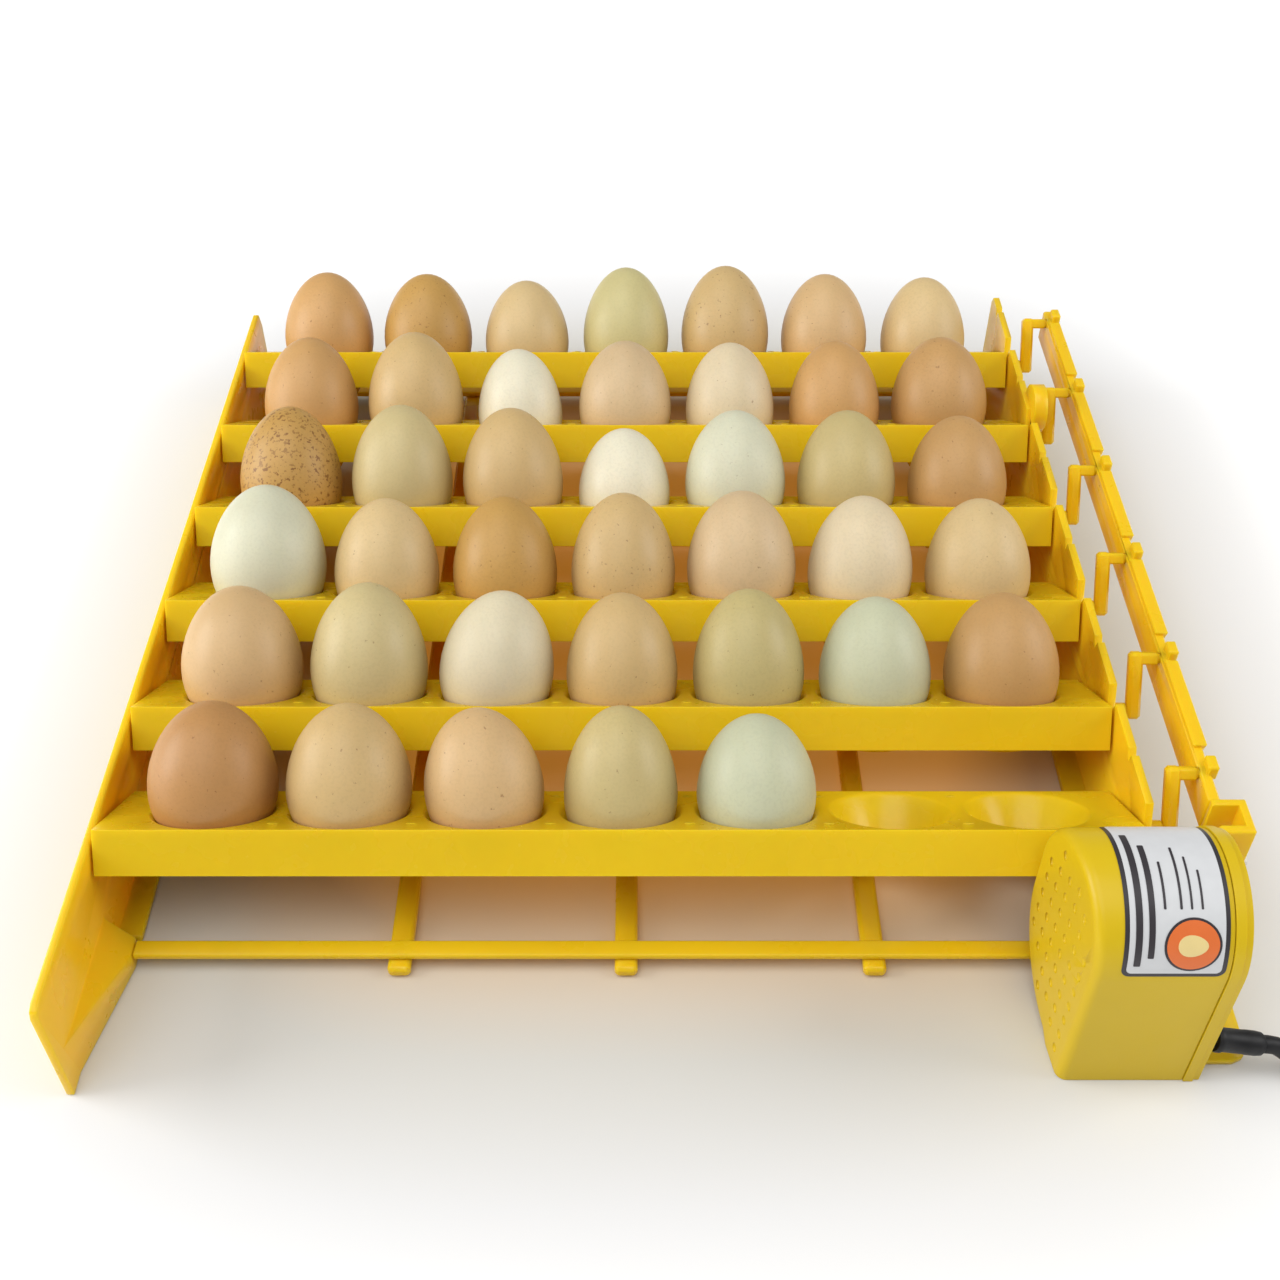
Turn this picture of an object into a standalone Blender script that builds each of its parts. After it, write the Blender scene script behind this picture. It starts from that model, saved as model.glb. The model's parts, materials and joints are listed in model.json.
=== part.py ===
"""Automatic egg turner: a frame with six tilting egg racks, worked by one drive bar and a gear motor.

Sizes are in millimetres, turned into Blender's metres by MM. The design frame has x = 0 midway along the
racks, y = 0 at the front edge of the front rack as it stands, and z = 0 on the table. Everything hangs
on one empty, which puts the middle of the base at the world's origin.
"""

import math

import bmesh
import bpy
from mathutils import Matrix, Vector

MM = 0.001
GAP = 0.3

# The racks
ROWS = 6
ROW_PITCH = 60.0
CUPS = 7
CUP_PITCH = 50.0
TILT = math.radians(33.3)
RACK_LENGTH = 375.0
RACK_DEPTH = 49.0
RACK_TOP = 7.0
RACK_SKIRT = 17.2
WALL = 2.0
CUP_TOP_R = 22.4
CUP_BOTTOM_R = 11.5
CUP_DROP = 21.0
CUP_SIDES = 14
PIVOT_Z = 36.9
FRONT_PIVOT_Y = 16.5
AXLE_R = 3.0

# The frame
PLATE_IN = 188.5
PLATE_OUT = 191.5
LEFT_PLATE_FRONT = -72.0
LEFT_PLATE_REAR = 344.0
LEFT_PLATE_TOP = 51.3
RIGHT_PLATE_FRONT = -9.0
RIGHT_PLATE_REAR = 350.0
RIGHT_PLATE_TOP = 57.5
PLATE_FRONT_CUT = 4.0
PLATE_REAR_LEAN = 2.5
PLATE_REAR_CUT = 7.0
NOTCH_Y = 5.0
NOTCH_DEPTH = 12.0
NOTCH_FRONT = 5.0
NOTCH_REAR = 6.0
STEP_Y = 35.0
STEP_DEPTH = 4.0
STEP_LENGTH = 3.0
FLANGE_WIDTH = 9.0
FLANGE_TOP = 3.0
GUSSET_TOP = 22.0
RUNNER_X = (-81.5, 2.0, 93.5)
RUNNER_WIDTH = 8.5
RUNNER_FRONT = -24.0
RUNNER_TOP = 5.0
CROSSBAR_WIDTH = 7.0
CROSSBAR_Y = (-20.0, 100.0, 220.0, 334.0)
CROSSBAR_TOP = 8.2
FOOT_RIGHT = 221.0
FOOT_FRONT = -60.0
FOOT_REAR = 40.0
FOOT_TOP = 2.6
FOOT_CORNER = 6.0
EAR_OUT = 196.5
EAR_Y = 254.0
EAR_Z = 56.0
EAR_R = 11.0

# The drive
ARM_LENGTH = 21.0
ARM_IN = 200.3
ARM_OUT = 205.7
ARM_HALF_WIDTH = 2.7
ARM_END = 2.6
ARM_HEEL = 3.4
ARM_HEAD_HALF = 2.3
ARM_HEAD_OUT = 211.7
PIN_R = 2.0
BAR_IN = 212.0
BAR_OUT = 216.3
BAR_BOTTOM = 41.0
BAR_TOP = 57.0
BAR_TAIL = 8.0
BLOCK_OUT = 217.7
BLOCK_BOTTOM = 44.0
BLOCK_TOP = 58.6
BLOCK_SPAN = (10.0, 55.0)
BLOCK_SLANT = 5.0
TAB_X = (214.2, 218.2)
TAB_HALF_LENGTH = 3.4
TAB_TOP = 61.0
YOKE_IN = 212.0
YOKE_OUT = 224.6
YOKE_SLOT = 9.2
YOKE_WALL = 3.2
YOKE_MID_Y = 4.8
YOKE_TOP = 58.5
YOKE_BOTTOM = 32.5
YOKE_SIDE_HEIGHT = 11.0
ROLLER_R = 2.3
ROLLER_OUT = 229.0
CRANK_R = ARM_LENGTH * math.sin(TILT)
SHAFT_Y = YOKE_MID_Y - CRANK_R
SHAFT_Z = 33.0
CRANK_IN = 202.4
CRANK_FACE = 206.3
CRANK_WEB = 2.4
CRANK_HALF_WIDTH = 3.0
CRANK_EYE_R = 3.4
CRANK_HUB_R = 3.9
SHAFT_R = 2.6
SHAFT_HOLE_R = 3.4

# The gear motor's housing: an arched barrel with a straight front wall and a well rounded heel at the rear
HOUSING_R = 28.0
HOUSING_Y = -38.0
HOUSING_Z = 60.0
HOUSING_LEFT = 147.0
HOUSING_SLANT = 5.5
HOUSING_WALL = 2.2
HOUSING_ROUNDING = 3.5
HEEL_R = 42.0
ROOM_LEFT = 157.0
COVER_IN = 196.3
COVER_OUT = 202.0
COVER_PROUD = 0.6
COVER_REAR = 6.0
COVER_SHOULDER_Z = 46.0
COVER_ARCH_END = math.radians(38)
LABEL_X = (161.0, 194.5)
LABEL_ARC = (math.radians(40), math.radians(174))
LABEL_THICKNESS = 0.4
MOTOR_R = 22.0
MOTOR_X = (159.0, 177.0)
MOTOR_Z = 52.0
GEARBOX_WIDTH = 40.0
GEARBOX_Z = (26.0, 70.0)
SCREWS_YZ = ((-60.0, 54.0), (-38.0, 82.0), (-6.0, 8.0), (-58.0, 5.5))
SCREW_R = 2.7
SCREW_HEIGHT = 1.7

# The mains lead
CORD_R = 3.2
SLEEVE_START = Vector((COVER_OUT + 1.7, -61.0, 18.6))
CORD_EXIT = Vector((221.5, -60.0, 13.6))
SLEEVE_R = 4.6
LEAD_HOLE_R = 2.6
COIL_CENTRE = Vector((318.0, -30.0, 0.0))
COIL_INNER_R = 22.4
COIL_OUTER_R = 48.6
COIL_HEIGHT = 13.3
PLUG_CENTRE = COIL_CENTRE + Vector((66.0, 10.0, 8.0))
PLUG_BODY = Vector((8.0, 12.0, 7.9))
PLUG_NECK = 24.0
PLUG_NECK_HALF = 4.0
PIN_SPACING = 10.0
PIN_HALF = Vector((0.8, 0.0, 3.2))
PIN_REACH = 29.0

# Width and length of the eggs in each row, from the front row to the rear one
EGGS = (
    ((47, 56), (46, 56), (44, 55), (42, 59), (44, 53)),
    ((47, 58), (46, 61), (45, 57), (44, 58), (44, 60), (44, 56), (45, 57)),
    ((48, 60), (44, 57), (44, 58), (44, 60), (46, 59), (44, 58), (44, 57)),
    ((45, 60), (45, 61), (45, 59), (41, 52), (45, 58), (44, 59), (44, 56)),
    ((44, 58), (45, 60), (40, 55), (44, 56), (42, 57), (43, 57), (45, 57)),
    ((44, 57), (44, 56), (42, 54), (43, 61), (44, 61), (43, 57), (42, 56)),
)
EGG_SIDES = 10
EGG_RINGS = 6
EGG_TAPER = 0.12
EGG_ROOM = 0.7
LINK_HALF = 1.2
LINK_Z = RACK_TOP + 8.0

COLOURS = {
    "rack_yellow": ((0.93, 0.72, 0.06), 0.34),
    "frame_yellow": ((0.93, 0.67, 0.04), 0.34),
    "motor_yellow": ((0.90, 0.75, 0.08), 0.38),
    "nylon_white": ((0.90, 0.90, 0.88), 0.40),
    "label_face": ((0.82, 0.83, 0.85), 0.45),
    "steel": ((0.62, 0.63, 0.65), 0.30),
    "cord_black": ((0.03, 0.03, 0.035), 0.50),
    "brass": ((0.78, 0.62, 0.28), 0.30),
    "shell": ((0.84, 0.66, 0.46), 0.50),
}
METALS = ("steel", "brass")


# Scene helpers


def clear_scene():
    for obj in list(bpy.data.objects):
        bpy.data.objects.remove(obj, do_unlink=True)


def make_material(name):
    colour, roughness = COLOURS[name]
    mat = bpy.data.materials.new(name)
    mat.use_nodes = True
    shader = mat.node_tree.nodes["Principled BSDF"]
    shader.inputs["Base Color"].default_value = (*colour, 1.0)
    shader.inputs["Roughness"].default_value = roughness
    shader.inputs["Metallic"].default_value = 1.0 if name in METALS else 0.0
    return mat


def mesh_object(name, mesh, collection):
    obj = bpy.data.objects.new(name, mesh)
    collection.objects.link(obj)
    return obj


def workshop():
    return bpy.data.collections["workshop"]


def scratch(mesh):
    """An object that only helps to shape another one."""
    obj = mesh_object("tool", mesh, workshop())
    obj.hide_render = True
    obj.display_type = "WIRE"
    return obj


def evaluated_mesh(obj):
    graph = bpy.context.evaluated_depsgraph_get()
    return bpy.data.meshes.new_from_object(obj.evaluated_get(graph))


def remove(*objects):
    for obj in objects:
        bpy.data.objects.remove(obj, do_unlink=True)


def joined(base, steps):
    """The mesh base after each (operation, mesh) of steps, as Booleans in that order."""
    body = scratch(base)
    tools = []
    for operation, mesh in steps:
        tool = scratch(mesh)
        boolean = body.modifiers.new(operation.lower(), "BOOLEAN")
        boolean.operation = operation
        boolean.object = tool
        tools.append(tool)
    bpy.context.view_layer.update()
    result = evaluated_mesh(body)
    remove(body, *tools)
    return result


def part(name, mesh, material, location=(0, 0, 0), tilt=0.0):
    """One finished sub-part, placed in the design frame and hung on the turner's empty."""
    obj = mesh_object(name, mesh, bpy.data.collections["egg_turner"])
    obj.location = Vector(location) * MM
    obj.rotation_euler.x = tilt
    obj.parent = bpy.data.objects["turner"]
    if not mesh.materials:
        mesh.materials.append(bpy.data.materials[material])
    shade = bmesh.new()
    shade.from_mesh(mesh)
    bmesh.ops.recalc_face_normals(shade, faces=shade.faces)
    shade.to_mesh(mesh)
    shade.free()
    mesh.shade_smooth()
    mesh.set_sharp_from_angle(angle=math.radians(35))
    return obj


# Shapes, all in millimetres


def to_mesh(bm, name):
    mesh = bpy.data.meshes.new(name)
    bmesh.ops.recalc_face_normals(bm, faces=bm.faces)
    bm.to_mesh(mesh)
    bm.free()
    return mesh


def box(low, high, rounding=0.0):
    low, high = Vector(low) * MM, Vector(high) * MM
    bm = bmesh.new()
    size = Matrix.Diagonal((*(high - low), 1.0))
    bmesh.ops.create_cube(bm, size=1.0, matrix=Matrix.Translation((low + high) / 2) @ size)
    if rounding:
        bmesh.ops.bevel(bm, geom=bm.edges[:], offset=rounding * MM, segments=1, affect="EDGES")
    return to_mesh(bm, "box")


def rod_x(x0, x1, y, z, radius, end_radius=None, sides=16):
    """A round bar or cone along X."""
    bm = bmesh.new()
    place = Matrix.Translation(Vector(((x0 + x1) / 2, y, z)) * MM) @ Matrix.Rotation(math.pi / 2, 4, "Y")
    bmesh.ops.create_cone(
        bm,
        cap_ends=True,
        segments=sides,
        radius1=radius * MM,
        radius2=(radius if end_radius is None else end_radius) * MM,
        depth=(x1 - x0) * MM,
        matrix=place,
    )
    return to_mesh(bm, "rod")


def together(*meshes):
    """Shapes that don't touch, as one mesh."""
    bm = bmesh.new()
    for mesh in meshes:
        bm.from_mesh(mesh)
    return to_mesh(bm, "set")


def slab_x(outline, x0, x1, rounding=0.0):
    """A flat outline of (y, z) points, as a plate from x0 to x1."""
    curve = bpy.data.curves.new("outline", "CURVE")
    curve.dimensions = "2D"
    curve.fill_mode = "BOTH"
    curve.extrude = (x1 - x0) / 2 * MM
    spline = curve.splines.new("POLY")
    spline.points.add(len(outline) - 1)
    for point, (y, z) in zip(spline.points, outline):
        point.co = (y * MM, z * MM, 0.0, 1.0)
    spline.use_cyclic_u = True
    obj = scratch(curve)
    bpy.context.view_layer.update()
    mesh = evaluated_mesh(obj)
    remove(obj)
    bm = bmesh.new()
    bm.from_mesh(mesh)
    bmesh.ops.remove_doubles(bm, verts=bm.verts, dist=1e-6)
    turn = Matrix(((0, 0, 1, (x0 + x1) / 2 * MM), (1, 0, 0, 0), (0, 1, 0, 0), (0, 0, 0, 1)))
    bmesh.ops.transform(bm, matrix=turn, verts=bm.verts)
    bmesh.ops.dissolve_limit(bm, angle_limit=math.radians(1), verts=bm.verts, edges=bm.edges)
    if rounding:
        bmesh.ops.bevel(bm, geom=bm.edges[:], offset=rounding * MM, segments=1, affect="EDGES")
    return to_mesh(bm, "slab")


def slab_z(outline, z0, z1):
    """A flat outline of (x, y) points, as a plate from z0 to z1."""
    plate = slab_x(outline, z0, z1)
    plate.transform(Matrix(((0, 1, 0, 0), (0, 0, 1, 0), (1, 0, 0, 0), (0, 0, 0, 1))))
    return plate


def turned(profile, sides):
    """A shape turned about Z from (radius, z) points that run from its top to its bottom."""
    bm = bmesh.new()
    points = [bm.verts.new((r * MM, 0, z * MM)) for r, z in profile]
    for a, b in zip(points, points[1:]):
        bm.edges.new((a, b))
    mesh = bpy.data.meshes.new("profile")
    bm.to_mesh(mesh)
    bm.free()
    obj = scratch(mesh)
    screw = obj.modifiers.new("turn", "SCREW")
    screw.steps = screw.render_steps = sides
    screw.use_merge_vertices = True
    screw.merge_threshold = 1e-5
    bpy.context.view_layer.update()
    result = evaluated_mesh(obj)
    remove(obj)
    bm = bmesh.new()
    bm.from_mesh(result)
    bmesh.ops.remove_doubles(bm, verts=bm.verts, dist=1e-6)
    return to_mesh(bm, "turned")


def moved(mesh, x=0.0, y=0.0, z=0.0):
    copy = mesh.copy()
    copy.transform(Matrix.Translation(Vector((x, y, z)) * MM))
    return copy


def tube(name, points, radius, material):
    """A cord or lead along (x, y, z) points, read from a smooth curve through them."""
    curve = bpy.data.curves.new(name, "CURVE")
    curve.dimensions = "3D"
    curve.bevel_depth = radius * MM
    curve.bevel_resolution = 2
    curve.use_fill_caps = True
    spline = curve.splines.new("POLY")
    spline.points.add(len(points) - 1)
    for point, place in zip(spline.points, points):
        point.co = (*(Vector(place) * MM), 1.0)
    obj = scratch(curve)
    bpy.context.view_layer.update()
    mesh = evaluated_mesh(obj)
    remove(obj)
    bm = bmesh.new()
    bm.from_mesh(mesh)
    bmesh.ops.remove_doubles(bm, verts=bm.verts, dist=1e-6)
    return part(name, to_mesh(bm, name), material)


def smooth_route(route, spacing):
    """Points about spacing apart on a Catmull-Rom curve through the route's own points."""
    ends = [2 * route[0] - route[1], *route, 2 * route[-1] - route[-2]]
    points = []
    for a, b, c, d in zip(ends, ends[1:], ends[2:], ends[3:]):
        steps = max(1, round((c - b).length / spacing))
        for i in range(steps):
            t = i / steps
            bend = (2 * a - 5 * b + 4 * c - d) * t**2 + (3 * b - a - 3 * c + d) * t**3
            points.append(0.5 * (2 * b + (c - a) * t + bend))
    return [*points, route[-1]]


# The racks and what they carry


def row_y(row):
    """The pivot's y for a row counted from the front, starting at 1."""
    return FRONT_PIVOT_Y + (row - 1) * ROW_PITCH


def cup_x(cup):
    return (cup - (CUPS - 1) / 2) * CUP_PITCH


def rack_mesh():
    half, deep = RACK_LENGTH / 2, RACK_DEPTH / 2
    bottom = RACK_TOP - RACK_SKIRT
    tray = box((-half, -deep, bottom), (half, deep, RACK_TOP), rounding=0.9)
    hollow = box(
        (-half + WALL, -deep + WALL, bottom - 5),
        (half - WALL, deep - WALL, RACK_TOP - WALL),
    )
    cup = turned(
        [
            (0, RACK_TOP - 0.6),
            (CUP_TOP_R + 1.3, RACK_TOP - 0.6),
            (CUP_BOTTOM_R + WALL, RACK_TOP - CUP_DROP),
            (0, RACK_TOP - CUP_DROP),
        ],
        CUP_SIDES,
    )
    slope = (CUP_TOP_R - CUP_BOTTOM_R) / CUP_DROP
    bore = turned(
        [
            (0, RACK_TOP + 3),
            (CUP_TOP_R + 3 * slope, RACK_TOP + 3),
            (CUP_BOTTOM_R - 3 * slope, RACK_TOP - CUP_DROP - 3),
            (0, RACK_TOP - CUP_DROP - 3),
        ],
        CUP_SIDES,
    )
    axles = together(
        rod_x(-PLATE_OUT - 2.0, -half + 1.0, 0, 0, AXLE_R, sides=12),
        rod_x(half - 1.0, ARM_IN - GAP, 0, 0, AXLE_R, sides=12),
    )
    return joined(
        tray,
        [
            ("DIFFERENCE", hollow),
            ("UNION", together(*[moved(cup, cup_x(i)) for i in range(CUPS)])),
            ("DIFFERENCE", together(*[moved(bore, cup_x(i)) for i in range(CUPS)])),
            ("UNION", axles),
        ],
    )


def egg_radius(width, length, height):
    """An egg's radius at a height above its blunt lower end."""
    t = max(-1.0, min(1.0, 2 * height / length - 1))
    widest = 1 / math.sqrt(1 - EGG_TAPER**2)
    return width / 2 * math.sqrt(1 - t * t) / (1 + EGG_TAPER * t) / widest


def egg_profile(width, length):
    points = []
    for i in range(EGG_RINGS + 1):
        height = length / 2 * (1 + math.cos(math.pi * i / EGG_RINGS))
        points.append((egg_radius(width, length, height), height))
    return points


def egg_seat(width, length):
    """The height of an egg's lower end when it rests in the cup's cone."""
    slope = (CUP_TOP_R - CUP_BOTTOM_R) / CUP_DROP
    heights = [length * i / 60 for i in range(30)]
    return max(
        RACK_TOP - (CUP_TOP_R - egg_radius(width, length, h) - EGG_ROOM) / slope - h for h in heights
    )


def egg_row_mesh(sizes):
    eggs = [
        moved(turned(egg_profile(*size), EGG_SIDES), cup_x(i), 0, egg_seat(*size))
        for i, size in enumerate(sizes)
    ]
    low, high = LINK_Z - LINK_HALF, LINK_Z + LINK_HALF
    link = box((cup_x(0), -LINK_HALF, low), (cup_x(len(sizes) - 1), LINK_HALF, high))
    return joined(together(*eggs), [("UNION", link)])


def arm_mesh():
    """The crank arm on an axle: a leg, a block at its top and the pin that the drive bar hangs on."""
    wide, half = ARM_HALF_WIDTH, ARM_HEAD_HALF
    leg = box((ARM_IN, -wide, -ARM_HEEL), (ARM_OUT, wide, ARM_LENGTH + ARM_END), rounding=1.2)
    head = box((ARM_IN + 1, -half, ARM_LENGTH - half), (ARM_HEAD_OUT, half, ARM_LENGTH + half), rounding=0.7)
    pin = rod_x(ARM_HEAD_OUT - 1, BAR_OUT, 0, ARM_LENGTH, PIN_R, sides=10)
    return joined(leg, [("UNION", head), ("UNION", pin)])


def make_racks():
    rack = rack_mesh()
    arm = arm_mesh()
    for row, sizes in enumerate(EGGS, start=1):
        place = (0, row_y(row), PIVOT_Z)
        part(f"egg_rack_{row}", rack, "rack_yellow", place, -TILT)
        part(f"crank_arm_{row}", arm, "frame_yellow", place, -TILT)
        part(f"egg_row_{row}", egg_row_mesh(sizes), "shell", place, -TILT)


# The drive bar and the crank


def bar_pin(row):
    """(y, z) of the pin that joins the bar to a row's arm."""
    return row_y(row) + ARM_LENGTH * math.sin(TILT), PIVOT_Z + ARM_LENGTH * math.cos(TILT)


def make_drive_bar():
    """A deep bar with an upright tab at each pin and a raised block, slanted in front, on each span."""
    pins = [bar_pin(row) for row in range(1, ROWS + 1)]
    front = YOKE_MID_Y + YOKE_SLOT / 2 + YOKE_WALL + GAP
    strip = box((BAR_IN, front, BAR_BOTTOM), (BAR_OUT, pins[-1][0] + BAR_TAIL, BAR_TOP), rounding=0.8)
    near, far = BLOCK_SPAN
    steps = []
    for y, z in pins:
        tab = box((TAB_X[0], y - TAB_HALF_LENGTH, z), (TAB_X[1], y + TAB_HALF_LENGTH, TAB_TOP), rounding=0.6)
        steps.append(("UNION", tab))
    for y, _ in pins[:-1]:
        block = slab_x(
            [
                (y + near + BLOCK_SLANT, BLOCK_BOTTOM),
                (y + far, BLOCK_BOTTOM),
                (y + far, BLOCK_TOP),
                (y + near, BLOCK_TOP),
            ],
            BAR_IN + 0.5,
            BLOCK_OUT,
            rounding=0.5,
        )
        steps.append(("UNION", block))
    holes = [rod_x(BAR_IN - 3, TAB_X[1] + 3, y, z, PIN_R + GAP, sides=10) for y, z in pins]
    steps.append(("DIFFERENCE", together(*holes)))
    part("drive_bar", joined(strip, steps), "frame_yellow")


def make_yoke():
    """The fork at the bar's front end: two walls, and a side wall that closes the slot near its top."""
    front = YOKE_MID_Y - YOKE_SLOT / 2
    back = YOKE_MID_Y + YOKE_SLOT / 2
    side_low = YOKE_TOP - YOKE_SIDE_HEIGHT
    low, high = (YOKE_IN, front - YOKE_WALL, YOKE_BOTTOM), (YOKE_OUT, back + YOKE_WALL, YOKE_TOP)
    block = box(low, high, rounding=0.6)
    slot = box((YOKE_IN - 5, front, YOKE_BOTTOM - 5), (YOKE_OUT - YOKE_WALL, back, YOKE_TOP + 5))
    below = box((YOKE_IN - 5, front, YOKE_BOTTOM - 5), (YOKE_OUT + 5, back, side_low))
    part("drive_yoke", joined(block, [("DIFFERENCE", slot), ("DIFFERENCE", below)]), "frame_yellow")


def make_crank():
    """The output crank, at rest with its roller towards the rear."""
    place = (0, SHAFT_Y, SHAFT_Z)
    back = CRANK_FACE + CRANK_WEB
    hub = rod_x(CRANK_IN, back, 0, 0, CRANK_HUB_R, sides=14)
    lever = box((CRANK_FACE, 0, -CRANK_HALF_WIDTH), (back, CRANK_R, CRANK_HALF_WIDTH))
    eye = rod_x(CRANK_FACE, back, CRANK_R, 0, CRANK_EYE_R, sides=14)
    roller = rod_x(CRANK_FACE + 1, ROLLER_OUT, CRANK_R, 0, ROLLER_R, sides=12)
    steps = [("UNION", piece) for piece in (lever, eye, roller)]
    part("output_crank", joined(hub, steps), "nylon_white", place)
    shaft = rod_x(COVER_IN + 1, CRANK_IN - GAP, 0, 0, SHAFT_R, sides=12)
    part("output_shaft", shaft, "steel", place)


# The frame


def left_outline():
    """(y, z) round the left side plate, anticlockwise from the foot of its front edge."""
    front, rear, top = LEFT_PLATE_FRONT, LEFT_PLATE_REAR, LEFT_PLATE_TOP
    return [
        (front, 0),
        (rear, 0),
        (rear, top - PLATE_REAR_CUT),
        (rear - PLATE_REAR_LEAN, top),
        (front + PLATE_FRONT_CUT, top),
        (front + 0.3 * PLATE_FRONT_CUT, top - 0.3 * PLATE_FRONT_CUT),
        (front, top - PLATE_FRONT_CUT),
    ]


def right_outline():
    """(y, z) round the right side plate, whose top edge is notched beside each rack."""
    front, rear, top = RIGHT_PLATE_FRONT, RIGHT_PLATE_REAR, RIGHT_PLATE_TOP
    points = [(front, 0), (rear, 0), (rear, top - STEP_DEPTH), (rear - PLATE_REAR_LEAN, top)]
    for row in range(ROWS, 0, -1):
        step = (row - 1) * ROW_PITCH + STEP_Y
        points += [(step + STEP_LENGTH, top), (step, top - STEP_DEPTH), (step - 1, top)]
        notch = (row - 1) * ROW_PITCH + NOTCH_Y
        points += [(notch + NOTCH_REAR, top), (notch, top - NOTCH_DEPTH), (notch - NOTCH_FRONT, top)]
    return [*points, (front + PLATE_FRONT_CUT + 1, top), (front, top - PLATE_FRONT_CUT - 2)]


def front_gusset():
    """The sloped web that braces the left plate's front foot to the front crossbar."""
    wall, tip = -PLATE_IN - 1, -PLATE_IN + FLANGE_WIDTH
    corners = [(wall, LEFT_PLATE_FRONT + 4), (tip, CROSSBAR_Y[0] - 0.5), (tip, -12.0), (wall, -12.0)]
    bm = bmesh.new()
    face = bm.faces.new([bm.verts.new(Vector((x, y, 0)) * MM) for x, y in corners])
    lifted = bmesh.ops.extrude_face_region(bm, geom=[face])
    for vert in lifted["geom"]:
        if isinstance(vert, bmesh.types.BMVert):
            vert.co.z = (GUSSET_TOP if vert.co.x < tip * MM - 1e-4 else CROSSBAR_TOP) * MM
    bmesh.ops.triangulate(bm, faces=bm.faces[:])
    return to_mesh(bm, "gusset")


def side_plate(name, side, outline, additions):
    inner, outer = sorted((side * PLATE_IN, side * PLATE_OUT))
    wall = slab_x(outline, inner, outer)
    near, far = sorted((side * (PLATE_IN + 1), side * (PLATE_IN - FLANGE_WIDTH)))
    flange = box((near, RIGHT_PLATE_FRONT + 1, 0), (far, LEFT_PLATE_REAR - 1, FLANGE_TOP))
    pivots = [row_y(row) for row in range(1, ROWS + 1)]
    holes = [rod_x(inner - 9, outer + 9, y, PIVOT_Z, AXLE_R + GAP, sides=14) for y in pivots]
    steps = [("UNION", mesh) for mesh in (flange, *additions)]
    steps.append(("DIFFERENCE", together(*holes)))
    part(name, joined(wall, steps), "frame_yellow")


def make_frame():
    side_plate("left_side_plate", -1, left_outline(), [front_gusset()])
    ear = rod_x(PLATE_OUT - 1, EAR_OUT, EAR_Y, EAR_Z, EAR_R, sides=16)
    side_plate("right_side_plate", 1, right_outline(), [ear])
    half = RUNNER_WIDTH / 2
    for name, x in zip(("left", "middle", "right"), RUNNER_X):
        low, high = (x - half, RUNNER_FRONT, 0), (x + half, LEFT_PLATE_REAR - 1, RUNNER_TOP)
        part(f"runner_{name}", box(low, high, rounding=1.2), "frame_yellow")
    names = ("front_crossbar", "middle_crossbar_1", "middle_crossbar_2", "rear_crossbar")
    for name, y in zip(names, CROSSBAR_Y):
        reach = PLATE_IN - GAP
        left, right = -reach, reach
        if name == "front_crossbar":
            left, right = FLANGE_WIDTH - reach, COVER_IN - GAP
        bar = box((left, y, RUNNER_TOP + GAP), (right, y + CROSSBAR_WIDTH, CROSSBAR_TOP), rounding=0.6)
        part(name, bar, "frame_yellow")


def make_foot():
    """The foot that ties the gear motor's housing to the right side plate."""
    inner = COVER_OUT + GAP
    foot = slab_z(
        [
            (inner, FOOT_FRONT),
            (FOOT_RIGHT - FOOT_CORNER, FOOT_FRONT),
            (FOOT_RIGHT - 0.3 * FOOT_CORNER, FOOT_FRONT + 0.3 * FOOT_CORNER),
            (FOOT_RIGHT, FOOT_FRONT + FOOT_CORNER),
            (FOOT_RIGHT, FOOT_REAR),
            (PLATE_OUT + GAP, FOOT_REAR),
            (PLATE_OUT + GAP, COVER_REAR + 1),
            (inner, COVER_REAR + 1),
        ],
        0,
        FOOT_TOP,
    )
    part("motor_foot", foot, "frame_yellow")


# The gear motor


def arch(radius, start, stop, steps):
    """(y, z) points on a circle about the barrel's axis."""
    angles = [start + (stop - start) * i / steps for i in range(steps + 1)]
    return [(HOUSING_Y + radius * math.cos(a), HOUSING_Z + radius * math.sin(a)) for a in angles]


def housing_outline(inset):
    """(y, z) round the housing, drawn in by inset: the arch, the heel, then the front wall's foot."""
    radius, heel = HOUSING_R - inset, HEEL_R - inset
    turns = [math.radians(90 * i / 8) for i in range(9)]
    middle = HOUSING_Y + HOUSING_R - HEEL_R
    curve = [(middle + heel * math.cos(a), HEEL_R - heel * math.sin(a)) for a in turns]
    return [*arch(radius, math.pi, 0, 16), *curve, (HOUSING_Y - radius, inset)]


def cover_outline():
    """(y, z) round the cover, which reaches further back than the housing."""
    radius = HOUSING_R + COVER_PROUD
    front = HOUSING_Y - radius
    return [
        *arch(radius, math.pi, COVER_ARCH_END, 14),
        (COVER_REAR, COVER_SHOULDER_Z),
        (COVER_REAR, 0.0),
        (front, 0.0),
    ]


def rounded_end(mesh):
    """The housing's closed left end, slanted back to the front, with its rim rounded but for the foot."""
    bm = bmesh.new()
    bm.from_mesh(mesh)
    left = HOUSING_LEFT * MM
    end = [v for v in bm.verts if abs(v.co.x - left) < 1e-6]
    rim = {e for v in end for e in v.link_edges if all(abs(w.co.x - left) < 1e-6 for w in e.verts)}
    rim = [e for e in rim if max(v.co.z for v in e.verts) > 1e-4]
    for vert in end:
        share = (HOUSING_Y + HOUSING_R - vert.co.y / MM) / (2 * HOUSING_R)
        vert.co.x += HOUSING_SLANT * share * MM
    bmesh.ops.bevel(bm, geom=rim, offset=HOUSING_ROUNDING * MM, segments=2, affect="EDGES", profile=0.5)
    return to_mesh(bm, "housing")


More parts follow.
